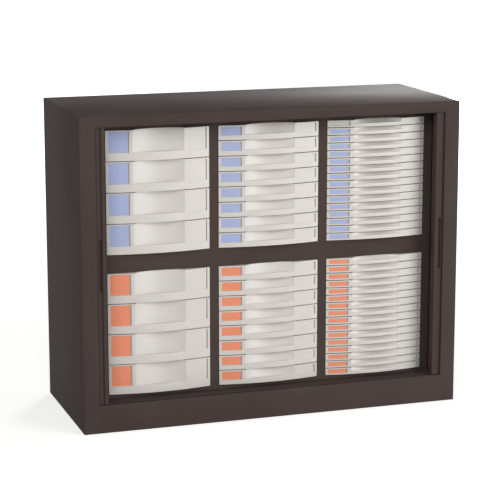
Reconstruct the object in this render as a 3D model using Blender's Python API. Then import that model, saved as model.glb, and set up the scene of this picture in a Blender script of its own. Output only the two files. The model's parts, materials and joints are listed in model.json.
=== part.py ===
"""Steel tambour cabinet with six stacks of moulded drawers and two side-opening shutters.

Metres, +Z up. The cabinet stands on Z = 0, is centred on X and Y, and its front faces -Y.
"""
import math

import bmesh
import bpy

# Steel carcass
WIDTH = 1.000
DEPTH = 0.400
HEIGHT = 0.795
SHEET = 0.0012
STILE_WIDTH = 0.040
STILE_CURTAIN_GAP = 0.0015
TOP_RAIL_HEIGHT = 0.028
PLINTH_HEIGHT = 0.072
BASE_FLANGE = 0.025
LEVELLER_SLOT_LENGTH = 0.015
LEVELLER_SLOT_WIDTH = 0.006
LEVELLER_FROM_SIDE = 0.089
LEVELLER_FROM_FRONT = 0.036

# Shutter track, a groove folded into the floor and mirrored under the top
TRACK_FRONT_WALL = 0.002
SIDE_TRACK_INSET = 0.018
BACK_TRACK_INSET = 0.018
TRACK_RADIUS = 0.022
TRACK_WIDTH = 0.010
TRACK_DEPTH = 0.010
TOP_TRACK_LIP = 0.006
CORNER_STEPS = 4

# Roller shutters
BAR_WIDTH = 0.022
BAR_DEPTH = 0.022
BAR_FRONT_SETBACK = 0.002
BAR_STILE_GAP = 0.002
BAR_MEETING_GAP = 0.0005
BAR_RIDGE_WIDTH = 0.011
BAR_CHANNEL_DEPTH = 0.008
BAR_LIP_WIDTH = 0.003
BAR_EDGE_CHAMFER = 0.002
PULL_HEIGHT = 0.130
PULL_CENTRE_Z = 0.425
PULL_DEPTH = 0.008
CURTAIN_THICKNESS = 0.005
SLAT_PITCH = 0.016
SLAT_GROOVE_WIDTH = 0.002
SLAT_GROOVE_DEPTH = 0.0015

# Drawer rack
DIVIDER_WIDTH = 0.024
BASE_RAIL_HEIGHT = 0.0105
MID_SHELF_HEIGHT = 0.0465
RACK_TOP_RAIL_HEIGHT = 0.0135
RACK_TOP_GAP = 0.0005
RACK_SETBACK = 0.002
RACK_CURTAIN_GAP = 0.0075
RIB_WIDTH = 0.006
RIB_HEIGHT = 0.0015
RIB_FRONT_GAP = 0.002

# Drawers: the flush plane is where a front meets its cell at both ends
FRONT_RECESS = 0.052
DRAWER_BAR_GAP = 0.013
FRONT_BOW = 0.014
FRONT_BACK = 0.008
FRONT_SIDE_GAP = 0.0004
FRONT_GAP = 0.0012
SCOOP_HALF_WIDTH = 0.066
SCOOP_RECESS = 0.005
SCOOP_LEDGE = 0.010
SCOOP_STEPS = 3
TRAY_SIDE_GAP = 0.0008
TRAY_WALL = 0.0018
TRAY_TOP_GAP = 0.003
TRAY_FRONT_BITE = 0.002
SEAT_GAP = 0.0003

# Each stack, left to right: name, drawers in a stack, height of the lip under the scoop
STACKS = (
    ("deep", 4, 0.0200),
    ("medium", 8, 0.0120),
    ("thin", 16, 0.0075),
)
ROWS = ("lower", "upper")

# Planes and spans that follow from the sizes above
HALF_WIDTH = WIDTH / 2
FRONT_Y = -DEPTH / 2
BACK_Y = DEPTH / 2
OPENING_HALF_WIDTH = HALF_WIDTH - STILE_WIDTH
OPENING_TOP = HEIGHT - TOP_RAIL_HEIGHT
TRACK_HALF_X = HALF_WIDTH - SIDE_TRACK_INSET
TRACK_FRONT_Y = FRONT_Y + TRACK_FRONT_WALL + TRACK_WIDTH / 2
TRACK_BACK_Y = BACK_Y - BACK_TRACK_INSET
STILE_RETURN_END = TRACK_FRONT_Y - CURTAIN_THICKNESS / 2 - STILE_CURTAIN_GAP
BAR_OUTER_X = OPENING_HALF_WIDTH - BAR_STILE_GAP
BAR_INNER_X = BAR_OUTER_X - BAR_WIDTH
SHUTTER_TRAVEL = BAR_INNER_X - BAR_MEETING_GAP
STACK_HALF_SPAN = BAR_INNER_X - DRAWER_BAR_GAP
CELL_WIDTH = (2 * STACK_HALF_SPAN - (len(STACKS) - 1) * DIVIDER_WIDTH) / len(STACKS)
RACK_HALF_WIDTH = STACK_HALF_SPAN + DIVIDER_WIDTH
RACK_BOTTOM = PLINTH_HEIGHT + SEAT_GAP
RACK_TOP = OPENING_TOP - RACK_TOP_GAP
RACK_RAILS = BASE_RAIL_HEIGHT + MID_SHELF_HEIGHT + RACK_TOP_RAIL_HEIGHT
CELL_HEIGHT = (RACK_TOP - RACK_BOTTOM - RACK_RAILS) / len(ROWS)
CELL_BOTTOMS = tuple(
    RACK_BOTTOM + BASE_RAIL_HEIGHT + row * (CELL_HEIGHT + MID_SHELF_HEIGHT) for row in range(len(ROWS))
)
CELL_CENTRES = tuple(
    -STACK_HALF_SPAN + CELL_WIDTH / 2 + column * (CELL_WIDTH + DIVIDER_WIDTH)
    for column in range(len(STACKS))
)
FLUSH_Y = FRONT_Y + FRONT_RECESS
RACK_FRONT = FLUSH_Y + RACK_SETBACK
RACK_BACK = TRACK_BACK_Y - CURTAIN_THICKNESS / 2 - RACK_CURTAIN_GAP
RIB_START = FLUSH_Y + FRONT_BACK + RIB_FRONT_GAP
TRAY_END = RACK_BACK - SHEET - SEAT_GAP
OVERSHOOT = 0.010


def clear_scene():
    for item in list(bpy.data.objects):
        bpy.data.objects.remove(item, do_unlink=True)


def material(name, colour, roughness, metallic):
    made = bpy.data.materials.new(name)
    made.use_nodes = True
    shader = made.node_tree.nodes["Principled BSDF"]
    shader.inputs["Base Color"].default_value = (*colour, 1.0)
    shader.inputs["Roughness"].default_value = roughness
    shader.inputs["Metallic"].default_value = metallic
    return made


def add_object(name, mesh, finish=None, parent=None, location=(0.0, 0.0, 0.0)):
    made = bpy.data.objects.new(name, mesh)
    bpy.context.collection.objects.link(made)
    made.location = location
    made.parent = parent
    if finish and not mesh.materials:
        mesh.materials.append(finish)
    return made


def mesh_from(bm, name):
    bmesh.ops.recalc_face_normals(bm, faces=bm.faces)
    mesh = bpy.data.meshes.new(name)
    bm.to_mesh(mesh)
    bm.free()
    return mesh


def add_prism(bm, outline, low, high, axis="Z"):
    """Closed prism on an outline of plan points (axis Z) or of front-view X, Z points (axis Y)."""
    def place(point, level):
        return (point[0], point[1], level) if axis == "Z" else (point[0], level, point[1])

    lower = [bm.verts.new(place(point, low)) for point in outline]
    upper = [bm.verts.new(place(point, high)) for point in outline]
    bm.faces.new(lower)
    bm.faces.new(upper)
    count = len(outline)
    for here in range(count):
        after = (here + 1) % count
        bm.faces.new((lower[here], lower[after], upper[after], upper[here]))


def add_box(bm, x_span, y_span, z_span):
    corners = [(x_span[0], y_span[0]), (x_span[1], y_span[0]), (x_span[1], y_span[1]), (x_span[0], y_span[1])]
    add_prism(bm, corners, *z_span)


def solid(name, build, *sizes):
    bm = bmesh.new()
    build(bm, *sizes)
    return add_object(name, mesh_from(bm, name))


def combine(target, tool, operation):
    """Apply a Boolean of target with tool, then remove the tool."""
    change = target.modifiers.new("combine", "BOOLEAN")
    change.operation = operation
    change.solver = "EXACT"
    change.object = tool
    graph = bpy.context.evaluated_depsgraph_get()
    result = bpy.data.meshes.new_from_object(target.evaluated_get(graph))
    target.modifiers.remove(change)
    target.data = result
    bpy.data.objects.remove(tool, do_unlink=True)


def cut(target, build, *sizes):
    combine(target, solid("cutter", build, *sizes), "DIFFERENCE")


def join(target, build, *sizes):
    combine(target, solid("addition", build, *sizes), "UNION")


def named_mesh(made, name, finish):
    made.data.name = name
    made.data.materials.clear()
    made.data.materials.append(finish)
    return made


def track_outline(offset):
    """Plan of the shutter track as a rounded rectangle, offset outwards from its centre line."""
    radius = TRACK_RADIUS + offset
    corners = (
        (TRACK_HALF_X - TRACK_RADIUS, TRACK_BACK_Y - TRACK_RADIUS, 0),
        (-TRACK_HALF_X + TRACK_RADIUS, TRACK_BACK_Y - TRACK_RADIUS, 1),
        (-TRACK_HALF_X + TRACK_RADIUS, TRACK_FRONT_Y + TRACK_RADIUS, 2),
        (TRACK_HALF_X - TRACK_RADIUS, TRACK_FRONT_Y + TRACK_RADIUS, 3),
    )
    points = []
    for x, y, quarter in corners:
        for step in range(CORNER_STEPS + 1):
            angle = (quarter + step / CORNER_STEPS) * math.pi / 2
            points.append((x + radius * math.cos(angle), y + radius * math.sin(angle)))
    return points


def build_block(bm):
    add_box(bm, (-HALF_WIDTH, HALF_WIDTH), (FRONT_Y, BACK_Y), (0, HEIGHT))


def build_chamber(bm, low, high):
    """Space between the four outer sheets."""
    inner_x = HALF_WIDTH - SHEET
    add_box(bm, (-inner_x, inner_x), (FRONT_Y + SHEET, BACK_Y - SHEET), (low, high))


def build_base_opening(bm):
    edge_x = HALF_WIDTH - BASE_FLANGE
    edge_y = BACK_Y - BASE_FLANGE
    add_box(bm, (-edge_x, edge_x), (-edge_y, edge_y), (-OVERSHOOT, SHEET + OVERSHOOT))


def build_room(bm):
    """Room for the rack and the shutters, open at the front, with a return folded along each stile."""
    inner_x = HALF_WIDTH - SHEET
    fold_x = OPENING_HALF_WIDTH + SHEET
    right = [
        (OPENING_HALF_WIDTH, FRONT_Y - OVERSHOOT),
        (OPENING_HALF_WIDTH, STILE_RETURN_END),
        (fold_x, STILE_RETURN_END),
        (fold_x, FRONT_Y + SHEET),
        (inner_x, FRONT_Y + SHEET),
        (inner_x, BACK_Y - SHEET),
    ]
    left = [(-x, y) for x, y in reversed(right)]
    add_prism(bm, right + left, PLINTH_HEIGHT, OPENING_TOP)


def build_track_prism(bm, offset, low, high):
    add_prism(bm, track_outline(offset), low, high)


def build_leveller_slots(bm):
    slot_y = FRONT_Y + LEVELLER_FROM_FRONT
    for side in (-1, 1):
        slot_x = side * (HALF_WIDTH - LEVELLER_FROM_SIDE)
        add_box(
            bm,
            (slot_x - LEVELLER_SLOT_LENGTH / 2, slot_x + LEVELLER_SLOT_LENGTH / 2),
            (slot_y - LEVELLER_SLOT_WIDTH / 2, slot_y + LEVELLER_SLOT_WIDTH / 2),
            (PLINTH_HEIGHT - SHEET - OVERSHOOT, PLINTH_HEIGHT + OVERSHOOT),
        )


def track_ring(offset, low, high):
    """Ring along the shutter track, reaching this far to both sides of its centre line."""
    ring = solid("ring", build_track_prism, offset, low, high)
    cut(ring, build_track_prism, -offset, low - OVERSHOOT, high + OVERSHOOT)
    return ring


def fold_track(carcass, face, inward):
    """Fold a shutter groove into the sheet whose face is at this level, with inward away from the room."""
    def levels(start, end):
        return sorted((face + inward * start, face + inward * end))

    half = TRACK_WIDTH / 2
    combine(carcass, track_ring(half + SHEET, *levels(SHEET / 2, TRACK_DEPTH + SHEET)), "UNION")
    combine(carcass, track_ring(half, *levels(-OVERSHOOT, TRACK_DEPTH)), "DIFFERENCE")


def make_carcass(finish):
    """Welded shell: sides, top, back, plinth, stiles, and the floor with both shutter tracks."""
    carcass = solid("carcass", build_block)
    cut(carcass, build_chamber, SHEET, PLINTH_HEIGHT - SHEET)
    cut(carcass, build_base_opening)
    cut(carcass, build_room)
    cut(carcass, build_chamber, OPENING_TOP + SHEET, HEIGHT - SHEET)
    fold_track(carcass, PLINTH_HEIGHT, -1)
    fold_track(carcass, OPENING_TOP, 1)
    top_hole = -TRACK_WIDTH / 2 - SHEET - TOP_TRACK_LIP
    cut(carcass, build_track_prism, top_hole, OPENING_TOP - OVERSHOOT, OPENING_TOP + SHEET + OVERSHOOT)
    cut(carcass, build_leveller_slots)
    return named_mesh(carcass, "carcass", finish)


def cell_outline(centre, bottom, count):
    """Inside of one sleeve seen from the front, with a runner rib for each drawer on both walls."""
    half = CELL_WIDTH / 2
    pitch = CELL_HEIGHT / count
    right = []
    for level in range(count):
        rib_base = bottom + level * pitch
        rib_top = rib_base + RIB_HEIGHT
        if level:
            right.append((half, rib_base))
        right.append((half - RIB_WIDTH, rib_base))
        right.append((half - RIB_WIDTH, rib_top))
        right.append((half, rib_top))
    right.append((half, bottom + CELL_HEIGHT))
    left = [(-x, z) for x, z in reversed(right)]
    return [(centre + x, z) for x, z in right + left]


def each_cell():
    for row, bottom in enumerate(CELL_BOTTOMS):
        for column, centre in enumerate(CELL_CENTRES):
            yield row, column, centre, bottom


def build_rack_block(bm):
    add_box(bm, (-RACK_HALF_WIDTH, RACK_HALF_WIDTH), (RACK_FRONT, RACK_BACK), (RACK_BOTTOM, RACK_TOP))


def build_rack_void(bm):
    reach = RACK_HALF_WIDTH + OVERSHOOT
    add_box(
        bm,
        (-reach, reach),
        (RACK_FRONT + SHEET, RACK_BACK - SHEET),
        (RACK_BOTTOM - OVERSHOOT, RACK_TOP + OVERSHOOT),
    )


def build_cell_boxes(bm, margin, y_low, y_high):
    half = CELL_WIDTH / 2 + margin
    for row, column, centre, bottom in each_cell():
        x_span = (centre - half, centre + half)
        add_box(bm, x_span, (y_low, y_high), (bottom - margin, bottom + CELL_HEIGHT + margin))


def build_ribbed_cells(bm):
    for row, column, centre, bottom in each_cell():
        outline = cell_outline(centre, bottom, STACKS[column][1])
        add_prism(bm, outline, RIB_START, RACK_BACK - SHEET, axis="Y")


def make_rack(finish):
    """Welded insert: front plate, six ribbed sleeves and a back sheet."""
    rack = solid("drawer_rack", build_rack_block)
    void = solid("void", build_rack_void)
    cut(void, build_cell_boxes, SHEET, RACK_FRONT - OVERSHOOT, RACK_BACK + OVERSHOOT)
    combine(rack, void, "DIFFERENCE")
    cut(rack, build_ribbed_cells)
    cut(rack, build_cell_boxes, 0.0, RACK_FRONT - OVERSHOOT, RIB_START)
    return named_mesh(rack, "drawer_rack", finish)


def track_place(distance):
    """Point and outward normal on the right-hand track, measured along it from the bar's outer edge."""
    quarter = TRACK_RADIUS * math.pi / 2
    corner_x = TRACK_HALF_X - TRACK_RADIUS
    front_corner_y = TRACK_FRONT_Y + TRACK_RADIUS
    back_corner_y = TRACK_BACK_Y - TRACK_RADIUS
    along = distance - (corner_x - BAR_OUTER_X)
    if along <= 0:
        return (corner_x + along, TRACK_FRONT_Y), (0.0, -1.0)
    if along <= quarter:
        turn = along / TRACK_RADIUS
        normal = (math.sin(turn), -math.cos(turn))
        return (corner_x + TRACK_RADIUS * normal[0], front_corner_y + TRACK_RADIUS * normal[1]), normal
    along -= quarter
    if along <= back_corner_y - front_corner_y:
        return (TRACK_HALF_X, front_corner_y + along), (1.0, 0.0)
    along -= back_corner_y - front_corner_y
    if along <= quarter:
        turn = along / TRACK_RADIUS
        normal = (math.cos(turn), math.sin(turn))
        return (corner_x + TRACK_RADIUS * normal[0], back_corner_y + TRACK_RADIUS * normal[1]), normal
    return (corner_x - (along - quarter), TRACK_BACK_Y), (0.0, 1.0)


def curtain_outline():
    """Plan of the slatted curtain, grooved between slats on its outer face."""
    half = CURTAIN_THICKNESS / 2
    groove = SLAT_GROOVE_WIDTH / 2
    tongue = BAR_LIP_WIDTH / 2
    left_in_pocket = TRACK_RADIUS * math.pi / 2 + SLAT_PITCH
    slats = math.ceil((SHUTTER_TRAVEL + left_in_pocket) / SLAT_PITCH)

    def offset_point(distance, offset):
        (x, y), normal = track_place(distance)
        return x + offset * normal[0], y + offset * normal[1]

    outer = [offset_point(-tongue, half)]
    inner = [offset_point(-tongue, -half)]
    for slat in range(slats):
        start = slat * SLAT_PITCH
        outer.append(offset_point(start, half - SLAT_GROOVE_DEPTH))
        outer.append(offset_point(start + groove, half))
        outer.append(offset_point(start + SLAT_PITCH - groove, half))
        inner.append(offset_point(start, -half))
    outer.append(offset_point(slats * SLAT_PITCH, half - SLAT_GROOVE_DEPTH))
    inner.append(offset_point(slats * SLAT_PITCH, -half))
    return outer + inner[::-1]


def bar_outline():
    """Plan of the leading bar: a proud ridge towards the opening, a grip channel and a lip on the curtain."""
    front = FRONT_Y + BAR_FRONT_SETBACK
    channel = front + BAR_CHANNEL_DEPTH
    back = front + BAR_DEPTH
    ridge_x = BAR_INNER_X + BAR_RIDGE_WIDTH
    lip_x = BAR_OUTER_X - BAR_LIP_WIDTH
    chamfer = BAR_EDGE_CHAMFER
    return [
        (BAR_INNER_X, front + chamfer),
        (BAR_INNER_X + chamfer, front),
        (ridge_x - chamfer, front),
        (ridge_x, front + chamfer),
        (ridge_x, channel),
        (lip_x, channel),
        (lip_x, TRACK_FRONT_Y),
        (BAR_OUTER_X, TRACK_FRONT_Y),
        (BAR_OUTER_X, back),
        (BAR_INNER_X, back),
    ]


def mirrored(outline, side):
    return outline if side > 0 else [(-x, y) for x, y in reversed(outline)]


def build_curtain(bm, side):
    low = PLINTH_HEIGHT - TRACK_DEPTH + SEAT_GAP
    high = OPENING_TOP + TRACK_DEPTH - SEAT_GAP
    add_prism(bm, mirrored(curtain_outline(), side), low, high)


def build_bar(bm, side):
    add_prism(bm, mirrored(bar_outline(), side), PLINTH_HEIGHT + SEAT_GAP, OPENING_TOP - SEAT_GAP)


def build_finger_pull(bm, side):
    channel = FRONT_Y + BAR_FRONT_SETBACK + BAR_CHANNEL_DEPTH
    near = side * (BAR_INNER_X + BAR_RIDGE_WIDTH)
    far = side * (BAR_OUTER_X - BAR_LIP_WIDTH)
    add_box(
        bm,
        (min(near, far), max(near, far)),
        (channel - OVERSHOOT, channel + PULL_DEPTH),
        (PULL_CENTRE_Z - PULL_HEIGHT / 2, PULL_CENTRE_Z + PULL_HEIGHT / 2),
    )


def make_shutter(name, side, finish):
    """Slatted curtain run back into its side pocket, with its leading bar and finger pull."""
    shutter = solid(name, build_curtain, side)
    join(shutter, build_bar, side)
    cut(shutter, build_finger_pull, side)
    return named_mesh(shutter, name, finish)


def front_columns(half):
    """X of the front's vertical edges, from one end to the other."""
    scoop = [SCOOP_HALF_WIDTH * step / SCOOP_STEPS for step in range(1, SCOOP_STEPS)]
    right = scoop + [SCOOP_HALF_WIDTH, (SCOOP_HALF_WIDTH + half) / 2, half]
    return [-x for x in reversed(right)] + [0.0] + right


def build_front(bm, pitch, lip_height):
    """Bowed moulded front: a full lip below, and above it a finger scoop between two label panels."""
    half = CELL_WIDTH / 2 - FRONT_SIDE_GAP
    bottom = FRONT_GAP / 2
    top = pitch - FRONT_GAP / 2
    lip = bottom + lip_height
    edge_bow = FRONT_BOW * (1 - (SCOOP_HALF_WIDTH / half) ** 2)
    lower, ledge, inner, upper = [], [], [], []
    for x in front_columns(half):
        bow = -FRONT_BOW * (1 - (x / half) ** 2)
        lower.append(bm.verts.new((x, bow, bottom)))
        ledge.append(bm.verts.new((x, bow, lip)))
        if abs(x) < SCOOP_HALF_WIDTH:
            share = 1 - (x / SCOOP_HALF_WIDTH) ** 2
            scoop = (SCOOP_RECESS + edge_bow) * share - edge_bow
            inner.append(bm.verts.new((x, bow + SCOOP_LEDGE * share, lip)))
            upper.append(bm.verts.new((x, scoop, top)))
        else:
            inner.append(ledge[-1])
            upper.append(bm.verts.new((x, bow, top)))
    back = [bm.verts.new((x, FRONT_BACK, z)) for z in (bottom, top) for x in (-half, half)]
    for here in range(len(lower) - 1):
        after = here + 1
        bm.faces.new((lower[here], lower[after], ledge[after], ledge[here]))
        bm.faces.new((inner[here], inner[after], upper[after], upper[here]))
        shelf = list(dict.fromkeys((ledge[here], ledge[after], inner[after], inner[here])))
        if len(shelf) > 2:
            bm.faces.new(shelf)
    bm.faces.new(lower + [back[1], back[0]])
    bm.faces.new(upper + [back[3], back[2]])
    bm.faces.new((back[0], back[1], back[3], back[2]))
    bm.faces.new((lower[0], ledge[0], upper[0], back[2], back[0]))
    bm.faces.new((lower[-1], ledge[-1], upper[-1], back[3], back[1]))


def tray_top(pitch):
    return pitch - TRAY_TOP_GAP


def build_tray(bm, pitch):
    half = CELL_WIDTH / 2 - TRAY_SIDE_GAP
    add_box(
        bm,
        (-half, half),
        (FRONT_BACK - TRAY_FRONT_BITE, TRAY_END - FLUSH_Y),
        (RIB_HEIGHT + SEAT_GAP, tray_top(pitch)),
    )


def build_tray_hollow(bm, pitch):
    half = CELL_WIDTH / 2 - TRAY_SIDE_GAP - TRAY_WALL
    add_box(
        bm,
        (-half, half),
        (FRONT_BACK - TRAY_FRONT_BITE / 2, TRAY_END - FLUSH_Y - TRAY_WALL),
        (RIB_HEIGHT + SEAT_GAP + TRAY_WALL, tray_top(pitch) + OVERSHOOT),
    )


def drawer_mesh(kind, count, lip_height, finish):
    """One moulded drawer: its tray, open at the top, and its front."""
    pitch = CELL_HEIGHT / count
    drawer = solid(kind, build_tray, pitch)
    cut(drawer, build_tray_hollow, pitch)
    join(drawer, build_front, pitch, lip_height)
    named_mesh(drawer, kind + "_drawer", finish)
    mesh = drawer.data
    bpy.data.objects.remove(drawer, do_unlink=True)
    return mesh


def place_drawers(meshes):
    """Fill each sleeve from the top down with copies of its drawer, on an empty at the sleeve's foot."""
    for row, column, centre, bottom in each_cell():
        kind, count, lip_height = STACKS[column]
        stack = add_object(f"{ROWS[row]}_{kind}_stack", None, location=(centre, FLUSH_Y, bottom))
        for number in range(1, count + 1):
            level = (count - number) * CELL_HEIGHT / count
            name = f"{ROWS[row]}_{kind}_drawer_{number}"
            add_object(name, meshes[kind], parent=stack, location=(0.0, 0.0, level))


clear_scene()
SHELL_PAINT = material("dark_brown_powder_coat", (0.071, 0.050, 0.047), 0.55, 0.0)
RACK_PAINT = material("dark_brown_rack_enamel", (0.060, 0.044, 0.041), 0.60, 0.0)
SHUTTER_PLASTIC = material("dark_brown_shutter_plastic", (0.063, 0.044, 0.041), 0.45, 0.0)
DRAWER_PLASTIC = material("pale_grey_polystyrene", (0.73, 0.70, 0.66), 0.40, 0.0)
make_carcass(SHELL_PAINT)
make_rack(RACK_PAINT)
make_shutter("left_tambour_shutter", -1, SHUTTER_PLASTIC)
make_shutter("right_tambour_shutter", 1, SHUTTER_PLASTIC)
place_drawers({kind: drawer_mesh(kind, count, lip, DRAWER_PLASTIC) for kind, count, lip in STACKS})
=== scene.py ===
"""Looks of a steel tambour cabinet with six stacks of moulded drawers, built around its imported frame."""
import json
import math

import bmesh
import bpy
from mathutils import Matrix, Vector


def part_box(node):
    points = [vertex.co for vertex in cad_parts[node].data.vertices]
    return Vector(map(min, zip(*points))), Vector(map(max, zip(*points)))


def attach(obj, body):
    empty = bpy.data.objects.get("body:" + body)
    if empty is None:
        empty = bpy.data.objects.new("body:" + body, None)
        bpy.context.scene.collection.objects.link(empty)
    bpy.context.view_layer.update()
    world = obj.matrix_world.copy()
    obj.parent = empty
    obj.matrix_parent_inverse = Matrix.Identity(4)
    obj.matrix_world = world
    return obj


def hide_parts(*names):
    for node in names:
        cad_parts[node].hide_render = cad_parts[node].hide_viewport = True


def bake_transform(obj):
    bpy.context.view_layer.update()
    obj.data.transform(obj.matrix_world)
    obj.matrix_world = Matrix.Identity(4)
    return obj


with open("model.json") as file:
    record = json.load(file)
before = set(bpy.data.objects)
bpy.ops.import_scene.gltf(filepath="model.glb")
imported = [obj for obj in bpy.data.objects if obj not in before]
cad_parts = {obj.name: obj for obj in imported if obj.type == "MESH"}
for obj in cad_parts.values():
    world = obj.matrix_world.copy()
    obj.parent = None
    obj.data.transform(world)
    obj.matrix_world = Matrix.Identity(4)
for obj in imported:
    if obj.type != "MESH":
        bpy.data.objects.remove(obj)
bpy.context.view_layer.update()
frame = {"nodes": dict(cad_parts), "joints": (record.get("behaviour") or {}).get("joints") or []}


# Carcass: sides, top, back, plinth and stiles of 1.2 mm steel sheet, bent round their long edges and
# welded into one shell. All of it is powder coated; the floor of the seam round the back sheet is coated
# near-black as painted shade, standing in for the dark gap between the sheets.
MM = 0.001
TOUCH = 0.01 * MM  # as near as counts as lying on a plane
SAME_WAY = 0.7  # least cosine between a face's normal and the way it is asked to face
FOLD_RADIUS = 2.0 * MM
RIM_RADIUS = 0.6 * MM
BACK_LAP = 14.0 * MM
BACK_STEP = 1.0 * MM
SEAM_DEPTH = 1.1 * MM
SEAM_WIDTH = 2.5 * MM
SEAM_DRAFT = 0.1 * MM
SHEET_ANGLE = math.radians(1)
SMOOTH_ANGLE = math.radians(32)


def select_only(piece):
    bpy.ops.object.select_all(action="DESELECT")
    piece.select_set(True)
    bpy.context.view_layer.objects.active = piece


def open_mesh(piece):
    """Select one piece alone and enter edit mode on it."""
    select_only(piece)
    bpy.ops.object.mode_set(mode="EDIT")


def close_mesh():
    bpy.ops.object.mode_set(mode="OBJECT")


def pick(piece, kind, inside, facing=None):
    """Select the vertices, edges or faces whose corners all lie inside, and that face a given way."""
    bpy.ops.mesh.select_mode(type=kind)
    bpy.ops.mesh.select_all(action="DESELECT")
    shape = bmesh.from_edit_mesh(piece.data)
    for element in {"VERT": shape.verts, "EDGE": shape.edges, "FACE": shape.faces}[kind]:
        corners = [element] if kind == "VERT" else element.verts
        turned = facing is None or element.normal.dot(Vector(facing)) > SAME_WAY
        element.select_set(turned and all(inside(corner.co) for corner in corners))
    bmesh.update_edit_mesh(piece.data)


def copy_node(node, name):
    """A merged copy of a node's mesh, with flat sheets as single faces, left open in edit mode."""
    piece = bpy.data.objects.new(name, frame["nodes"][node].data.copy())
    bpy.context.collection.objects.link(piece)
    open_mesh(piece)
    bpy.ops.mesh.customdata_custom_splitnormals_clear()
    bpy.ops.mesh.select_all(action="SELECT")
    bpy.ops.mesh.remove_doubles(threshold=TOUCH)
    bpy.ops.mesh.dissolve_limited(angle_limit=SHEET_ANGLE)
    return piece


def smooth(piece):
    """Shade round stretches smooth and leave the sharper edges crisp."""
    select_only(piece)
    bpy.ops.object.shade_smooth_by_angle(angle=SMOOTH_ANGLE)


def linear(code):
    """An sRGB hex colour as linear RGBA."""
    parts = [int(code[at:at + 2], 16) / 255 for at in (1, 3, 5)]
    return [part / 12.92 if part <= 0.04045 else ((part + 0.055) / 1.055) ** 2.4 for part in parts] + [1.0]


def finish(name):
    """A new material with its Principled shader."""
    made = bpy.data.materials.new(name)
    made.use_nodes = True
    return made, made.node_tree.nodes["Principled BSDF"]


def add(material, kind, links, **settings):
    """Add a node; settings name its sockets or its options, links name the sockets fed by another node."""
    node = material.node_tree.nodes.new(kind)
    for name, value in settings.items():
        if hasattr(node, name):
            setattr(node, name, value)
        else:
            node.inputs[name.replace("_", " ")].default_value = value
    for socket, source in links.items():
        material.node_tree.links.new(source, node.inputs[socket])
    return node


def feed(material, shader, socket, source):
    """Link a node's output to one of the shader's sockets."""
    material.node_tree.links.new(source, shader.inputs[socket])


# Powder coat is plastic melted on steel: matt, with a fine orange peel that breaks up reflections.
# The real peel is about 1 mm from crest to crest, and is drawn 5 mm wide so that it shows at all.
PEEL_WIDTH = 5.0 * MM
PEEL_HEIGHT = 0.08 * MM
PEEL_STRENGTH = 0.25
PEEL_GLOSS = 0.04
CLOUD_WIDTH = 160.0 * MM
CLOUD_STOPS = (0.35, 0.65)
COAT_SPECULAR = 0.04


def powder_coat(name, dark, light, roughness):
    """A coat whose tone drifts slowly between two colours, with the peel in its gloss and its relief."""
    coat, shader = finish(name)
    place = add(coat, "ShaderNodeTexCoord", {}).outputs["Object"]
    cloud = add(coat, "ShaderNodeTexNoise", {"Vector": place}, Scale=1 / CLOUD_WIDTH, Detail=3.0)
    peel = add(coat, "ShaderNodeTexNoise", {"Vector": place}, Scale=1 / PEEL_WIDTH, Detail=2.0)
    tone = add(coat, "ShaderNodeValToRGB", {"Fac": cloud.outputs["Fac"]})
    for stop, position, code in zip(tone.color_ramp.elements, CLOUD_STOPS, (dark, light)):
        stop.position = position
        stop.color = linear(code)
    gloss = add(
        coat, "ShaderNodeMapRange", {"Value": peel.outputs["Fac"]},
        To_Min=roughness - PEEL_GLOSS, To_Max=roughness + PEEL_GLOSS,
    )
    bump = add(
        coat, "ShaderNodeBump", {"Height": peel.outputs["Fac"]},
        Strength=PEEL_STRENGTH, Distance=PEEL_HEIGHT,
    )
    feed(coat, shader, "Base Color", tone.outputs["Color"])
    feed(coat, shader, "Roughness", gloss.outputs["Result"])
    feed(coat, shader, "Normal", bump.outputs["Normal"])
    shader.inputs["Specular IOR Level"].default_value = COAT_SPECULAR
    return coat


shell_low, shell_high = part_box("carcass")
shell = copy_node("carcass", "steel_shell")


def on_fold(co):
    """True on the shell's outer edges, where two outer sheets meet."""
    sides = (abs(co.x) - shell_high.x, abs(co.y) - shell_high.y, min(co.z, shell_high.z - co.z))
    return sum(abs(side) < TOUCH for side in sides) >= 2


def on_rim(co):
    """True on the front face's inner edge, round the opening."""
    from_edge = min(shell_high.x - abs(co.x), co.z, shell_high.z - co.z)
    return from_edge > FOLD_RADIUS * 2 and abs(co.y - shell_low.y) < TOUCH


pick(shell, "EDGE", on_fold)
bpy.ops.mesh.bevel(offset=FOLD_RADIUS, segments=3, affect="EDGES")
pick(shell, "EDGE", on_rim)
bpy.ops.mesh.bevel(offset=RIM_RADIUS, segments=2, affect="EDGES")
pick(shell, "FACE", lambda co: co.y > shell_high.y - TOUCH, facing=(0, 1, 0))
bpy.ops.mesh.inset(thickness=BACK_LAP)
bpy.ops.mesh.inset(thickness=SEAM_DRAFT, depth=-SEAM_DEPTH)
bpy.ops.mesh.inset(thickness=SEAM_WIDTH)
bpy.ops.mesh.inset(thickness=SEAM_DRAFT, depth=SEAM_DEPTH - BACK_STEP)
shell_coat = powder_coat("powder_coated_steel", dark="#463c3a", light="#4a403d", roughness=0.72)
# The seam's floor gets a near-black coat: painted shade for the gap between the sheets.
seam_painted_shade = powder_coat("painted_shade_in_seam", dark="#1d1918", light="#221d1b", roughness=0.85)
shell.data.materials.clear()
shell.data.materials.append(shell_coat)
shell.data.materials.append(seam_painted_shade)
# Faces on the seam's floor take the painted shade.
pick(shell, "FACE", lambda co: abs(co.y - shell_high.y + SEAM_DEPTH) < TOUCH, facing=(0, 1, 0))
shell.active_material_index = 1
bpy.ops.object.material_slot_assign()
close_mesh()
smooth(shell)
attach(shell, "cabinet")
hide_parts("carcass")


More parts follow.
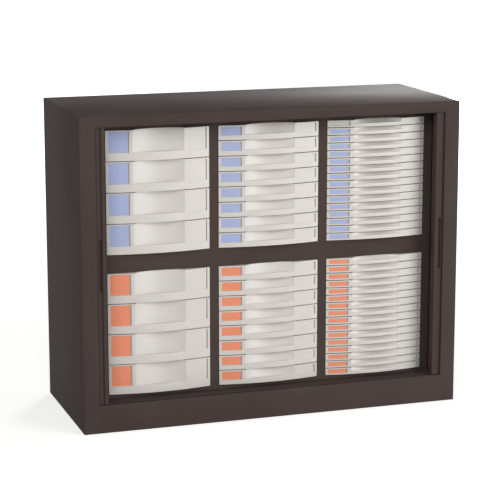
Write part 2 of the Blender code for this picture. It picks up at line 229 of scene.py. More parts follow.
# Rivets of the back sheet: domed blind rivets along its four edges, set after the coating. They are
# steel with a black lacquer, a little glossier than the sheet.
RIVET_RADIUS = 5.0 * MM
RIVET_RISE = 0.95 * MM
RIVET_FROM_LAP = 14.0 * MM
RIVET_INSET = BACK_LAP + RIVET_FROM_LAP
RIVETS_ACROSS = 6
RIVETS_UP = 4


def rivet_places():
    reach_x = shell_high.x - RIVET_INSET
    low_z = RIVET_INSET
    high_z = shell_high.z - RIVET_INSET
    for step in range(RIVETS_ACROSS):
        x = -reach_x + 2 * reach_x * step / (RIVETS_ACROSS - 1)
        yield x, low_z
        yield x, high_z
    for step in range(1, RIVETS_UP):
        z = low_z + (high_z - low_z) * step / RIVETS_UP
        yield -reach_x, z
        yield reach_x, z


def join(pieces):
    """Join pieces into the first one."""
    select_only(pieces[0])
    for piece in pieces:
        piece.select_set(True)
    bpy.ops.object.join()
    return pieces[0]


bpy.ops.object.select_all(action="DESELECT")
bpy.ops.mesh.primitive_uv_sphere_add(segments=16, ring_count=8, radius=RIVET_RADIUS)
rivet = bpy.context.object
open_mesh(rivet)
bpy.ops.mesh.select_all(action="SELECT")
bpy.ops.mesh.bisect(plane_co=(0, 0, 0), plane_no=(0, 1, 0), clear_inner=True, use_fill=True)
bpy.ops.mesh.select_all(action="SELECT")
bpy.ops.transform.resize(value=(1, RIVET_RISE / RIVET_RADIUS, 1), center_override=(0, 0, 0))
close_mesh()
heads = []
for x, z in rivet_places():
    head = bpy.data.objects.new("rivet_head", rivet.data.copy())
    head.data.transform(Matrix.Translation((x, shell_high.y - BACK_STEP, z)))
    bpy.context.collection.objects.link(head)
    heads.append(head)
bpy.data.objects.remove(rivet)
rivets = join(heads)
rivets.name = "back_sheet_rivets"
lacquer = powder_coat("black_lacquered_steel", dark="#1f1b1a", light="#25201f", roughness=0.5)
rivets.data.materials.append(lacquer)
smooth(rivets)
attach(rivets, "cabinet")


# Drawer rack: front plate, six sleeves with pressed runner ribs and a back sheet, spot welded and
# dipped in enamel of the shell's colour. It stands on the floor of the cabinet.
rack_coat = powder_coat("dipped_rack_enamel", dark="#463c39", light="#49403c", roughness=0.75)
frame["nodes"]["drawer_rack"].material_slots[0].material = rack_coat


# Caps of the levelling feet: moulded plugs under the two slots in the floor, near the stiles, with a
# groove across for a screwdriver. They are wider than the slots and sit just below the sheet. Their black
# is partly the plastic's own colour and partly painted shade for the dark hollow of the base under the
# slots.
CAP_LENGTH = 19.0 * MM
CAP_WIDTH = 10.0 * MM
CAP_HEIGHT = 4.0 * MM
CAP_DEPTH = 1.4 * MM
CAP_GROOVE = 1.6 * MM
SLOT_FROM_SIDE = 89.0 * MM
SLOT_FROM_FRONT = 36.0 * MM
RACK_GAP = 0.3 * MM
FLOOR_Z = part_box("drawer_rack")[0].z - RACK_GAP
FLOW_WIDTH = 45.0 * MM
FLOW_STOPS = (0.3, 0.7)
FLOW_SHADE = 0.97
SPARK_HEIGHT = 0.05 * MM
SPARK_STRENGTH = 0.15
SPARK_GLOSS = 0.05


def box_piece(name, low, high):
    """A cube primitive set to two corners, with its place in its mesh."""
    bpy.ops.object.select_all(action="DESELECT")
    bpy.ops.mesh.primitive_cube_add(size=1, location=(Vector(low) + Vector(high)) / 2)
    piece = bpy.context.object
    piece.name = name
    piece.scale = Vector(high) - Vector(low)
    bpy.ops.object.transform_apply(location=True, rotation=True, scale=True)
    return piece


def cut_across(place, normal):
    """Cut all of the open mesh along a plane."""
    bpy.ops.mesh.select_all(action="SELECT")
    bpy.ops.mesh.bisect(plane_co=place, plane_no=normal)


def shaded(colour, share):
    """A linear colour made darker."""
    return [part * share for part in colour[:3]] + [1.0]


def moulded(name, code, roughness, grain, ior):
    """A moulded plastic: one even colour with a faint flow mottle, under a fine spark-eroded texture."""
    plastic, shader = finish(name)
    place = add(plastic, "ShaderNodeTexCoord", {}).outputs["Object"]
    flow = add(plastic, "ShaderNodeTexNoise", {"Vector": place}, Scale=1 / FLOW_WIDTH, Detail=2.0)
    spark = add(plastic, "ShaderNodeTexNoise", {"Vector": place}, Scale=1 / grain, Detail=2.0)
    colour = linear(code)
    tone = add(plastic, "ShaderNodeValToRGB", {"Fac": flow.outputs["Fac"]})
    for stop, position, share in zip(tone.color_ramp.elements, FLOW_STOPS, (FLOW_SHADE, 1.0)):
        stop.position = position
        stop.color = shaded(colour, share)
    gloss = add(
        plastic, "ShaderNodeMapRange", {"Value": spark.outputs["Fac"]},
        To_Min=roughness - SPARK_GLOSS, To_Max=roughness + SPARK_GLOSS,
    )
    bump = add(
        plastic, "ShaderNodeBump", {"Height": spark.outputs["Fac"]},
        Strength=SPARK_STRENGTH, Distance=SPARK_HEIGHT,
    )
    feed(plastic, shader, "Base Color", tone.outputs["Color"])
    feed(plastic, shader, "Roughness", gloss.outputs["Result"])
    feed(plastic, shader, "Normal", bump.outputs["Normal"])
    shader.inputs["IOR"].default_value = ior
    return plastic


# Black caps: partly the plastic's own colour, partly painted shade in the slots.
cap_plastic_and_painted_shade = moulded("black_polyethylene_and_painted_slot_shade", "#1c1918", roughness=0.5, grain=2.0 * MM, ior=1.51)
for side, word in ((-1, "left"), (1, "right")):
    cap_x = side * (shell_high.x - SLOT_FROM_SIDE)
    cap_y = shell_low.y + SLOT_FROM_FRONT
    cap_top = FLOOR_Z - CAP_DEPTH
    cap = box_piece(
        f"{word}_leveller_cap",
        (cap_x - CAP_LENGTH / 2, cap_y - CAP_WIDTH / 2, cap_top - CAP_HEIGHT),
        (cap_x + CAP_LENGTH / 2, cap_y + CAP_WIDTH / 2, cap_top),
    )
    open_mesh(cap)
    for edge_x in (cap_x - CAP_GROOVE / 2, cap_x + CAP_GROOVE / 2):
        cut_across((edge_x, 0, 0), (1, 0, 0))
    pick(cap, "FACE", lambda co: abs(co.x - cap_x) < CAP_GROOVE, facing=(0, 0, 1))
    bpy.ops.mesh.extrude_region_move(TRANSFORM_OT_translate={"value": (0, 0, -CAP_GROOVE)})
    close_mesh()
    cap.data.materials.append(cap_plastic_and_painted_shade)
    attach(cap, "cabinet")


# Track liners: black nylon profiles pressed into the shutter grooves of the floor and the top, so that the
# slats run quietly. Their near-black is also painted shade: it darkens the front groove more than its own
# shadow would. Each one is taken off the steel groove itself and thickened inwards.
TRACK_INSET = 18.0 * MM
TRACK_FRONT_INSET = 7.0 * MM
TRACK_RADIUS = 22.0 * MM
TRACK_WIDTH = 10.0 * MM
TRACK_DEPTH = 10.0 * MM
LINER_WALL = 0.8 * MM
TOP_HEIGHT = 28.0 * MM
CEILING_Z = shell_high.z - TOP_HEIGHT
track_x = shell_high.x - TRACK_INSET
track_front = shell_low.y + TRACK_FRONT_INSET
track_back = shell_high.y - TRACK_INSET


def off_track(co):
    """Distance in plan from the line that the slats follow, a rectangle with round corners."""
    over_x = abs(co.x) - track_x + TRACK_RADIUS
    over_y = abs(co.y - (track_front + track_back) / 2) - (track_back - track_front) / 2 + TRACK_RADIUS
    corner = math.hypot(max(over_x, 0.0), max(over_y, 0.0))
    return abs(corner + min(max(over_x, over_y), 0.0) - TRACK_RADIUS)


def thicken(piece, thickness, side, even=False):
    """Give a sheet its thickness, out from its faces where side is 1 and in from them where it is -1."""
    wall = piece.modifiers.new("wall", "SOLIDIFY")
    wall.thickness = thickness
    wall.offset = side
    wall.use_even_offset = even
    bpy.ops.object.modifier_apply(modifier="wall")


# The liners' black nylon doubles as painted shade in the grooves.
groove_shade_nylon = moulded("black_nylon_and_painted_groove_shade", "#1b1817", roughness=0.55, grain=1.5 * MM, ior=1.53)
for word, groove_low in (("lower", FLOOR_Z - TRACK_DEPTH), ("upper", CEILING_Z)):
    def in_groove(co):
        level = groove_low - TOUCH < co.z < groove_low + TRACK_DEPTH + TOUCH
        return level and off_track(co) < TRACK_WIDTH / 2 + TOUCH

    liner = copy_node("carcass", f"{word}_track_liner_and_painted_shade")
    pick(liner, "FACE", in_groove)
    bpy.ops.mesh.select_all(action="INVERT")
    bpy.ops.mesh.delete(type="FACE")
    close_mesh()
    thicken(liner, LINER_WALL, side=1, even=True)
    smooth(liner)
    liner.data.materials.clear()
    liner.data.materials.append(groove_shade_nylon)
    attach(liner, "cabinet")


# Drawers: injection moulded in pale warm grey polystyrene, tray and front in one shot. The front bows
# out in plan, has a finger scoop over a full-width lip, and a label pocket with a slot at each end.
FRONT_BOW = 14.0 * MM
FRONT_THICKNESS = 8.0 * MM
SCOOP_HALF = 66.0 * MM
SCOOP_RECESS = 5.0 * MM
SCOOP_LEDGE = 10.0 * MM
SCOOP_COLUMNS = 7
LIP_ROUND = 1.5 * MM
LIP_STEPS = (1.0, 0.6, 0.2, 0.0)  # shares of the lip's round at which it has a row of points
LEDGE_STEP = 0.4 * MM
LEDGE_FALL = 0.27
POCKET_FROM_END = 6.3 * MM
POCKET_WIDTH = 51.7 * MM
CARD_POCKET_DEPTH = 2.2 * MM
BARE_POCKET_DEPTH = 0.8 * MM
POCKET_DRAFT = 0.4 * MM
SLOT_WIDTH = 2.8 * MM
SLOT_SLACK = SLOT_WIDTH / 4
CARD_SLOT_DEPTH = 2.0 * MM
BARE_SLOT_DEPTH = 5.0 * MM
SLOT_DRAFT = 0.2 * MM
END_DROP = 0.9 * MM
TRAY_WALL = 1.8 * MM
TRAY_SIDE = 0.4 * MM
TRAY_BITE = 1.0 * MM
TRAY_BASE = 1.2 * MM
TRAY_TOP_GAP = 2.4 * MM
TRAY_FOOT_ROUND = 2.5 * MM
CARD_THICKNESS = 0.35 * MM
CARD_LIFT = 0.25 * MM
ROWS = ("upper", "lower")
# Each kind: drawers in a stack, lip height, and how far the pockets stay from the bottom and from the top
KINDS = {
    "deep": (4, 21.2 * MM, 20.3 * MM, 3.6 * MM),
    "medium": (8, 13.9 * MM, 11.7 * MM, 4.3 * MM),
    "thin": (16, 9.1 * MM, 3.6 * MM, 3.9 * MM),
}


def front_place(x, up, half, lip, height):
    """How far behind the flush plane, and how high, the front lies at x from its middle and this far up."""
    bow = -FRONT_BOW * (1 - (x / half) ** 2)
    if abs(x) >= SCOOP_HALF or up < lip - LIP_ROUND:
        return bow, up
    share = 1 - (x / SCOOP_HALF) ** 2
    edge_bow = FRONT_BOW * (1 - (SCOOP_HALF / half) ** 2)
    at_ledge = SCOOP_LEDGE * share
    at_top = (SCOOP_RECESS + edge_bow) * share - edge_bow - bow
    if up < lip + TOUCH:
        turn = max(0.0, (up - lip + LIP_ROUND) / LIP_ROUND)
        return bow + min(LIP_ROUND, at_ledge) * (1 - math.sqrt(max(0.0, 1 - turn * turn))), up
    fall = at_ledge * LEDGE_FALL if up < lip + LEDGE_STEP + TOUCH else 0.0
    return bow + at_ledge + (at_top - at_ledge) * (up - lip) / (height - lip), up - fall


def pocket_spans(half):
    """For the left and the right pocket: left edge, slot's left edge, right edge, depth and slot's depth."""
    for left, depth, slot_depth in (
        (-half + POCKET_FROM_END, CARD_POCKET_DEPTH, CARD_SLOT_DEPTH),
        (half - POCKET_FROM_END - POCKET_WIDTH, BARE_POCKET_DEPTH, BARE_SLOT_DEPTH),
    ):
        yield left, left + POCKET_WIDTH - SLOT_WIDTH, left + POCKET_WIDTH, depth, slot_depth


def front_columns(half):
    columns = [SCOOP_HALF * step / SCOOP_COLUMNS for step in range(-SCOOP_COLUMNS, SCOOP_COLUMNS + 1)]
    for left, slot, right, _, _ in pocket_spans(half):
        columns += [left, (left + slot) / 2, slot, right]
    return columns


def front_rows(lip, height, pocket_low, pocket_high):
    rows = [lip - LIP_ROUND * share for share in LIP_STEPS]
    return rows + [lip + LEDGE_STEP, pocket_low, height - pocket_high, (lip + height) / 2]


def bowed_front(kind, low, high):
    """A drawer's front without its pockets, left open in edit mode."""
    _, lip, pocket_low, pocket_high = KINDS[kind]
    middle = (low.x + high.x) / 2
    half = (high.x - low.x) / 2
    height = high.z - low.z
    flush_y = low.y + FRONT_BOW
    bpy.ops.object.select_all(action="DESELECT")
    bpy.ops.mesh.primitive_plane_add(size=1, location=(middle, flush_y, (low.z + high.z) / 2))
    front = bpy.context.object
    front.name = f"{kind}_drawer"
    front.rotation_euler = (math.pi / 2, 0, 0)
    front.scale = (2 * half, height, 1)
    bpy.ops.object.transform_apply(location=True, rotation=True, scale=True)
    open_mesh(front)
    for x in front_columns(half):
        cut_across((middle + x, 0, 0), (1, 0, 0))
    for up in front_rows(lip, height, pocket_low, pocket_high):
        cut_across((0, 0, low.z + up), (0, 0, 1))
    close_mesh()
    for vertex in front.data.vertices:
        depth, up = front_place(vertex.co.x - middle, vertex.co.z - low.z, half, lip, height)
        vertex.co.y = flush_y + depth
        vertex.co.z = low.z + up
        if abs(vertex.co.x - middle) > SCOOP_HALF - TOUCH and up > height - TOUCH:
            vertex.co.z -= END_DROP
    open_mesh(front)
    bpy.ops.mesh.select_all(action="SELECT")
    bpy.ops.mesh.extrude_region_move(TRANSFORM_OT_translate={"value": (0, FRONT_BOW * 2, 0)})
    bpy.ops.transform.resize(value=(1, 0, 1), center_override=(0, flush_y + FRONT_THICKNESS, 0))
    bpy.ops.mesh.select_all(action="SELECT")
    bpy.ops.mesh.normals_make_consistent(inside=False)
    return front


def press_pockets(front, kind, low, high):
    """Press both label pockets and their slots into an open front; returns the card of the left one."""
    _, _, pocket_low, pocket_high = KINDS[kind]
    middle = (low.x + high.x) / 2
    floor_low = low.z + pocket_low + POCKET_DRAFT / 2
    card = None
    for left, slot, right, depth, slot_depth in pocket_spans((high.x - low.x) / 2):
        def in_pocket(co):
            across = middle + left - TOUCH < co.x < middle + right + TOUCH
            return across and low.z + pocket_low - TOUCH < co.z < high.z - pocket_high + TOUCH

        def on_floor(co):
            return in_pocket(co) and co.z > floor_low

        pick(front, "FACE", in_pocket, facing=(0, -1, 0))
        bpy.ops.mesh.inset(thickness=POCKET_DRAFT, depth=-depth)
        if card is None:
            card = cut_card(front, lambda co: on_floor(co) and co.x < middle + slot + SLOT_SLACK)
        pick(front, "FACE", lambda co: on_floor(co) and co.x > middle + slot - SLOT_SLACK, facing=(0, -1, 0))
        bpy.ops.mesh.inset(thickness=SLOT_DRAFT, depth=-slot_depth)
    return card


def cut_card(front, inside):
    """Copy the pocket's floor into a thin card that lies on it."""
    pick(front, "FACE", inside, facing=(0, -1, 0))
    bpy.ops.mesh.duplicate()
    bpy.ops.mesh.separate(type="SELECTED")
    card = [item for item in bpy.context.selected_objects if item is not front][0]
    close_mesh()
    open_mesh(card)
    bpy.ops.mesh.select_all(action="SELECT")
    bpy.ops.transform.translate(value=(0, -CARD_LIFT, 0))
    close_mesh()
    thicken(card, CARD_THICKNESS, side=1)
    open_mesh(front)
    return card


def model_tray(low, high):
    """The tray behind a front: floor, two sides and a back, with round corners."""
    front_y = low.y + FRONT_BOW + FRONT_THICKNESS - TRAY_BITE
    tray = box_piece(
        "tray",
        (low.x + TRAY_SIDE, front_y, low.z + TRAY_BASE),
        (high.x - TRAY_SIDE, high.y, high.z - TRAY_TOP_GAP),
    )
    open_mesh(tray)
    for open_side in ((0, 0, 1), (0, -1, 0)):
        pick(tray, "FACE", lambda co: True, facing=open_side)
        bpy.ops.mesh.delete(type="FACE")
    pick(tray, "EDGE", lambda co: co.z < low.z + TRAY_BASE + TOUCH and co.y > front_y + TOUCH)
    bpy.ops.mesh.bevel(offset=TRAY_FOOT_ROUND, segments=2, affect="EDGES")
    close_mesh()
    thicken(tray, TRAY_WALL, side=-1)
    return tray


def model_drawer(kind):
    """Model one drawer at the place of the top one in its upper stack; returns it and its card."""
    low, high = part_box(f"upper_{kind}_drawer_1")
    middle = (low.x + high.x) / 2
    lip_z = low.z + KINDS[kind][1]
    front = bowed_front(kind, low, high)
    card = press_pockets(front, kind, low, high)

    def on_scoop_end(co):
        end = abs(abs(co.x - middle) - SCOOP_HALF) < TOUCH
        return end and co.z > lip_z - TOUCH and co.y < low.y + FRONT_BOW

    pick(front, "EDGE", on_scoop_end)
    bpy.ops.mesh.mark_sharp()
    close_mesh()
    join([front, model_tray(low, high)])
    smooth(front)
    return front, card


drawer_plastic = moulded("pale_grey_polystyrene", "#c9c4bf", roughness=0.45, grain=2.5 * MM, ior=1.59)


# Cards: punched from dyed card stock and slid behind the edges of the left pockets, blue in the upper
# row and orange in the lower one. The top thin drawer has a blank grey card.
FIBRE_WIDTH = 3.0 * MM
FIBRE_HEIGHT = 0.03 * MM
FIBRE_STRENGTH = 0.1
FIBRE_STOPS = (0.25, 0.75)
FIBRE_SHADE = 0.93
CARD_ROUGHNESS = 0.75


def card_stock(name, code):
    """Dyed card: matt, with faint fibres, drawn 3 mm wide, far over life size, so that they show."""
    stock, shader = finish(name)
    place = add(stock, "ShaderNodeTexCoord", {}).outputs["Object"]
    fibre = add(stock, "ShaderNodeTexNoise", {"Vector": place}, Scale=1 / FIBRE_WIDTH, Detail=4.0)
    colour = linear(code)
    tone = add(stock, "ShaderNodeValToRGB", {"Fac": fibre.outputs["Fac"]})
    for stop, position, share in zip(tone.color_ramp.elements, FIBRE_STOPS, (FIBRE_SHADE, 1.0)):
        stop.position = position
        stop.color = shaded(colour, share)
    bump = add(
        stock, "ShaderNodeBump", {"Height": fibre.outputs["Fac"]},
        Strength=FIBRE_STRENGTH, Distance=FIBRE_HEIGHT,
    )
    feed(stock, shader, "Base Color", tone.outputs["Color"])
    feed(stock, shader, "Normal", bump.outputs["Normal"])
    shader.inputs["Roughness"].default_value = CARD_ROUGHNESS
    return stock


stocks = {
    "upper": card_stock("blue_card_stock", "#a3aed2"),
    "lower": card_stock("orange_card_stock", "#e68c6b"),
    "blank": card_stock("grey_card_stock", "#c9c5bf"),
}


def place_copy(master, name, shift, material):
    """A copy of a modelled piece with its own mesh, moved to its place."""
    piece = bpy.data.objects.new(name, master.data.copy())
    piece.data.transform(Matrix.Translation(shift))
    piece.data.materials.clear()
    piece.data.materials.append(material)
    bpy.context.collection.objects.link(piece)
    return piece


for kind, (count, _, _, _) in KINDS.items():
    drawer_master, card_master = model_drawer(kind)
    first_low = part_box(f"upper_{kind}_drawer_1")[0]
    for row in ROWS:
        for number in range(1, count + 1):
            node = f"{row}_{kind}_drawer_{number}"
            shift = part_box(node)[0] - first_low
            drawer = place_copy(drawer_master, f"{node}_moulding", shift, drawer_plastic)
            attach(drawer, node)
            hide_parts(node)
            stock = stocks["blank" if node == "upper_thin_drawer_1" else row]
            card = place_copy(card_master, f"{row}_{kind}_card_{number}", shift, stock)
            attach(card, node)
    bpy.data.objects.remove(drawer_master)
    bpy.data.objects.remove(card_master)


# Leading bars of the shutters: extruded plastic, with a proud ridge towards the opening, a grip channel
# beside it and a lip with a tongue that holds the curtain. A finger pull is milled into the channel.
BAR_WIDTH = 22.0 * MM
BAR_DEPTH = 22.0 * MM
BAR_GAP = 0.3 * MM
MEETING_GAP = 0.5 * MM
RIDGE_WIDTH = 11.0 * MM
RIDGE_ROUND = 3.0 * MM
LIP_WIDTH = 3.0 * MM
LIP_SETBACK = 3.0 * MM
CHANNEL_DEPTH = 3.5 * MM
PULL_LOW = 360.0 * MM
PULL_HIGH = 490.0 * MM
PULL_DEPTH = 4.0 * MM
PULL_DRAFT = 0.6 * MM
TONGUE_REACH = 7.5 * MM
TONGUE_BITE = 1.0 * MM
TONGUE_THICKNESS = 3.0 * MM
STREAK_WIDTH = 2.5 * MM
STREAK_LENGTH = 220.0 * MM
STREAK_HEIGHT = 0.04 * MM
STREAK_STRENGTH = 0.1
STREAK_STOPS = (0.3, 0.7)
STREAK_SHADE = 0.9
EXTRUSION_SPECULAR = 0.1


def extruded(name, code, roughness):
    """Extruded plastic: satin, with faint streaks along the way it left the die, drawn 2.5 mm wide."""
    plastic, shader = finish(name)
    place = add(plastic, "ShaderNodeTexCoord", {}).outputs["Object"]
    stretch = add(
        plastic, "ShaderNodeMapping", {"Vector": place},
        Scale=(1 / STREAK_WIDTH, 1 / STREAK_WIDTH, 1 / STREAK_LENGTH),
    )
    streak = add(plastic, "ShaderNodeTexNoise", {"Vector": stretch.outputs["Vector"]}, Scale=1.0, Detail=2.0)
    colour = linear(code)
    tone = add(plastic, "ShaderNodeValToRGB", {"Fac": streak.outputs["Fac"]})
    for stop, position, share in zip(tone.color_ramp.elements, STREAK_STOPS, (STREAK_SHADE, 1.0)):
        stop.position = position
        stop.color = shaded(colour, share)
    bump = add(
        plastic, "ShaderNodeBump", {"Height": streak.outputs["Fac"]},
        Strength=STREAK_STRENGTH, Distance=STREAK_HEIGHT,
    )
    feed(plastic, shader, "Base Color", tone.outputs["Color"])
    feed(plastic, shader, "Normal", bump.outputs["Normal"])
    shader.inputs["Roughness"].default_value = roughness
    shader.inputs["Specular IOR Level"].default_value = EXTRUSION_SPECULAR
    return plastic


shutter_plastic = extruded("dark_brown_extrusion", "#443a37", roughness=0.6)
closing = [joint for joint in frame["joints"] if joint["name"] == "close_right_shutter"][0]
TRAVEL = -closing["range_m"][0]
shutter_low, shutter_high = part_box("right_tambour_shutter")
bar_front = shutter_low.y
bar_foot = FLOOR_Z + BAR_GAP
bar_head = shutter_high.z - (FLOOR_Z - shutter_low.z) - BAR_GAP
bar_inner = TRAVEL + MEETING_GAP
ridge_x = bar_inner + RIDGE_WIDTH
bar_outer = bar_inner + BAR_WIDTH
lip_x = bar_outer - LIP_WIDTH


def in_channel(co):
    return ridge_x - TOUCH < co.x < lip_x + TOUCH


def in_pull(co):
    """True on the channel's floor, where the finger pull is milled."""
    level = PULL_LOW - TOUCH < co.z < PULL_HIGH + TOUCH
    return level and in_channel(co) and co.y > bar_front + CHANNEL_DEPTH - TOUCH


bar = box_piece(
    "right_shutter_bar",
    (bar_inner, bar_front, bar_foot),
    (bar_outer, bar_front + BAR_DEPTH, bar_head),
)
open_mesh(bar)
for cut_x in (ridge_x, lip_x):
    cut_across((cut_x, 0, 0), (1, 0, 0))
pick(bar, "FACE", in_channel, facing=(0, -1, 0))
bpy.ops.mesh.extrude_region_move(TRANSFORM_OT_translate={"value": (0, CHANNEL_DEPTH, 0)})
pick(bar, "VERT", lambda co: co.x > lip_x - TOUCH and co.y < bar_front + TOUCH)
bpy.ops.transform.translate(value=(0, LIP_SETBACK, 0))
for cut_z in (PULL_LOW, PULL_HIGH):
    cut_across((0, 0, cut_z), (0, 0, 1))
pick(bar, "FACE", in_pull, facing=(0, -1, 0))
bpy.ops.mesh.inset(thickness=PULL_DRAFT, depth=-PULL_DEPTH)
pick(bar, "EDGE", lambda co: co.x < ridge_x + TOUCH and co.y < bar_front + TOUCH)
bpy.ops.mesh.bevel(offset=RIDGE_ROUND, segments=4, affect="EDGES")
close_mesh()
tongue = box_piece(
    "tongue",
    (bar_outer - TONGUE_BITE, track_front - TONGUE_THICKNESS / 2, bar_foot),
    (bar_outer + TONGUE_REACH, track_front + TONGUE_THICKNESS / 2, bar_head),
)
join([bar, tongue])
smooth(bar)
bar.data.materials.append(shutter_plastic)


def turn_out(piece):
    """Turn a mesh that was mapped inside out right side out again."""
    open_mesh(piece)
    bpy.ops.mesh.select_all(action="SELECT")
    bpy.ops.mesh.flip_normals()
    close_mesh()


def mirror_copy(piece, name):
    """The piece of the other side."""
    twin = bpy.data.objects.new(name, piece.data.copy())
    bpy.context.collection.objects.link(twin)
    twin.data.transform(Matrix.Diagonal((-1, 1, 1, 1)))
    turn_out(twin)
    return twin


bars = {"right": bar, "left": mirror_copy(bar, "left_shutter_bar")}
for side, piece in bars.items():
    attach(piece, f"{side}_shutter")
    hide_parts(f"{side}_tambour_shutter")


# Curtains of the shutters: extruded slats, 16 mm apart, hinged on each other by a soft strip and running
# in the two tracks. They are modelled drawn out to the middle, then gathered behind the stile.
SLAT_PITCH = 16.0 * MM
SLAT_THICKNESS = 5.0 * MM
SLAT_ROUND = 1.6 * MM
SLAT_CLEARANCE = 1.0 * MM
DRAWN_SLATS = 29
GATHER_GAP = 4.0 * MM
GATHER_END = bar_outer + GATHER_GAP
GATHER_START = GATHER_END + DRAWN_SLATS * SLAT_PITCH - TRAVEL
SOLVE_STEPS = 40


def slat_run(name, count):
    """A straight run of slats along -X from the origin, with round edges on their outer face."""
    face = -SLAT_THICKNESS / 2
    run = box_piece(
        name,
        (-SLAT_PITCH, face, shutter_low.z + SLAT_CLEARANCE),
        (0, -face, shutter_high.z - SLAT_CLEARANCE),
    )
    open_mesh(run)
    pick(run, "EDGE", lambda co: co.y < face + TOUCH and co.x > -TOUCH)
    bpy.ops.mesh.bevel(offset=SLAT_ROUND, segments=2, affect="EDGES")
    pick(run, "EDGE", lambda co: co.y < face + TOUCH and co.x < TOUCH - SLAT_PITCH)
    bpy.ops.mesh.bevel(offset=SLAT_ROUND, segments=2, affect="EDGES")
    close_mesh()
    row = run.modifiers.new("row", "ARRAY")
    row.count = count
    row.use_relative_offset = False
    row.use_constant_offset = True
    row.constant_offset_displace = (-SLAT_PITCH, 0, 0)
    bpy.ops.object.modifier_apply(modifier="row")
    run.data.materials.append(shutter_plastic)
    return run


def gathered(drawn):
    """Where a point of the drawn-out curtain, this far from its fixed end, lies when it is gathered."""
    room = GATHER_START - GATHER_END
    if drawn >= room + TRAVEL:
        return drawn - TRAVEL
    low, high = 0.0, 1.0
    for _ in range(SOLVE_STEPS):
        share = (low + high) / 2
        reached = share * room + TRAVEL * share * share * (3 - 2 * share)
        low, high = (share, high) if reached < drawn else (low, share)
    return share * room


curtain = slat_run("right_shutter_curtain", DRAWN_SLATS)
for vertex in curtain.data.vertices:
    vertex.co.x = GATHER_START - gathered(-vertex.co.x)
    vertex.co.y += track_front
smooth(curtain)
curtains = {"right": (curtain, 1), "left": (mirror_copy(curtain, "left_shutter_curtain"), -1)}
for side, (piece, sign) in curtains.items():
    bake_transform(piece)


# Runs of the curtains in the side pockets: the same slats, round the front corner of the track, along the
# side and into the back. They can't be seen once the shutter is drawn, so they stay where they are.
POCKET_START = 16.0 * MM
POCKET_SLATS = 29


def on_track(along, out):
    """A point past the start of the track's front corner, and this far outside the slats' line."""
    quarter = TRACK_RADIUS * math.pi / 2
    side_run = track_back - track_front - 2 * TRACK_RADIUS
    corner_x = track_x - TRACK_RADIUS
    radius = TRACK_RADIUS + out
    if along < quarter:
        turn = along / TRACK_RADIUS
        return corner_x + radius * math.sin(turn), track_front + TRACK_RADIUS - radius * math.cos(turn)
    if along < quarter + side_run:
        return corner_x + radius, track_front + TRACK_RADIUS + along - quarter
    turn = min(along - quarter - side_run, quarter) / TRACK_RADIUS
    back_run = max(along - side_run - 2 * quarter, 0.0)
    x = corner_x + radius * math.cos(turn) - back_run
    return x, track_back - TRACK_RADIUS + radius * math.sin(turn)


pocket = slat_run("right_pocket_curtain", POCKET_SLATS)
for vertex in pocket.data.vertices:
    vertex.co.x, vertex.co.y = on_track(POCKET_START - vertex.co.x, -vertex.co.y)
turn_out(pocket)
smooth(pocket)
for piece in (pocket, mirror_copy(pocket, "left_pocket_curtain")):
    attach(piece, "cabinet")


# Floor: a wide sheet of pale paper. Where it is seen it glows by what the lamps leave short of white, so
# that it looks white and keeps the cabinet's shadow.
FLOOR_SIZE = 90.0
FLOOR_DROP = 0.2 * MM
FLOOR_ROUGHNESS = 0.9
GLOW_REACH = 4.0
LIT_REACH = 1.2
NEAR_GLOW = 0.57
FAR_GLOW = 0.85
WHITE = (1, 1, 1, 1)


def seen_directly(material):
    """1 where the eye meets a surface, also by way of gloss or glass, and 0 for the light that it throws."""
    path = add(material, "ShaderNodeLightPath", {})
    ways = [path.outputs[f"Is {way} Ray"] for way in ("Camera", "Glossy", "Transmission")]
    first = add(material, "ShaderNodeMath", {0: ways[0], 1: ways[1]}, operation="MAXIMUM")
    return add(material, "ShaderNodeMath", {0: first.outputs[0], 1: ways[2]}, operation="MAXIMUM").outputs[0]


bpy.ops.object.select_all(action="DESELECT")
bpy.ops.mesh.primitive_plane_add(size=FLOOR_SIZE, location=(0, 0, -FLOOR_DROP))
ground = bpy.context.object
ground.name = "studio_floor"
bpy.ops.object.transform_apply(location=True, rotation=True, scale=True)
floor_paper, floor_shader = finish("white_studio_floor")
floor_shader.inputs["Base Color"].default_value = linear("#ededeb")
floor_shader.inputs["Roughness"].default_value = FLOOR_ROUGHNESS
floor_shader.inputs["Specular IOR Level"].default_value = 0.0
place = add(floor_paper, "ShaderNodeTexCoord", {}).outputs["Object"]
reach = add(floor_paper, "ShaderNodeMapping", {"Vector": place}, Scale=(1 / GLOW_REACH,) * 3)
near = add(
    floor_paper, "ShaderNodeTexGradient", {"Vector": reach.outputs["Vector"]}, gradient_type="SPHERICAL",
)
lift = add(
    floor_paper, "ShaderNodeMapRange", {"Value": near.outputs["Fac"]},
    From_Max=1 - LIT_REACH / GLOW_REACH, To_Min=FAR_GLOW, To_Max=NEAR_GLOW,
)
strength = add(
    floor_paper, "ShaderNodeMath", {0: seen_directly(floor_paper), 1: lift.outputs["Result"]},
    operation="MULTIPLY",
)
glow = add(floor_paper, "ShaderNodeEmission", {"Strength": strength.outputs[0]}, Color=WHITE)
lifted = add(
    floor_paper, "ShaderNodeAddShader", {0: floor_shader.outputs["BSDF"], 1: glow.outputs["Emission"]},
)
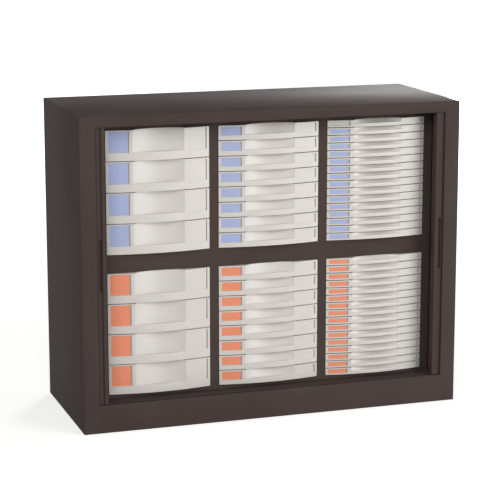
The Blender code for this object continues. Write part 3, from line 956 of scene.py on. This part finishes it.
feed(floor_paper, floor_paper.node_tree.nodes["Material Output"], "Surface", lifted.outputs["Shader"])
ground.data.materials.append(floor_paper)


# Light: an even white surround, a large soft key lamp on the right, a soft fill lamp higher up on the left,
# and a smaller one behind, on the right, for the back.
SURROUND = 0.2
# Each lamp: where it stands, its width, its power, and the face of the cabinet that it points at
LAMPS = {
    "key": ((5.0, -5.8, 1.45), 4.6, 425.0, shell_low.y),
    "fill": ((-3.1, -5.5, 4.9), 4.6, 225.0, shell_low.y),
    "back": ((3.4, 5.5, 0.9), 2.2, 370.0, shell_high.y),
}

world = bpy.data.worlds.new("white_surround")
bpy.context.scene.world = world
world.use_nodes = True
sky = world.node_tree.nodes["Background"]
sky.inputs["Color"].default_value = WHITE
level = add(world, "ShaderNodeMapRange", {"Value": seen_directly(world)}, To_Min=SURROUND, To_Max=1.0)
feed(world, sky, "Strength", level.outputs["Result"])
for name, (stand, size, power, face_y) in LAMPS.items():
    lamp = bpy.data.objects.new(name, bpy.data.lights.new(name, "AREA"))
    lamp.data.shape = "DISK"
    lamp.data.size = size
    lamp.data.energy = power
    lamp.location = stand
    aim = Vector((0, face_y, shell_high.z / 2)) - Vector(stand)
    lamp.rotation_euler = aim.to_track_quat("-Z", "Y").to_euler()
    bpy.context.collection.objects.link(lamp)


# Camera: at the photograph's viewing angle, left of the front and a little above the cabinet. Its lens isn't
# shifted, so upright edges lean in a little.
CAMERA_PLACE = (-1.496, -4.5053, 1.3896)
CAMERA_YAW = math.radians(18.358)
CAMERA_PITCH = math.radians(-11.802)
CAMERA_LENS = 133.19
CAMERA_SENSOR = 36.0
camera = bpy.data.objects.new("camera", bpy.data.cameras.new("camera"))
camera.data.lens = CAMERA_LENS
camera.data.sensor_width = CAMERA_SENSOR
camera.location = CAMERA_PLACE
camera.rotation_euler = (math.pi / 2 + CAMERA_PITCH, 0, -CAMERA_YAW)
bpy.context.collection.objects.link(camera)
bpy.context.scene.camera = camera
bpy.context.scene.view_settings.view_transform = "Standard"
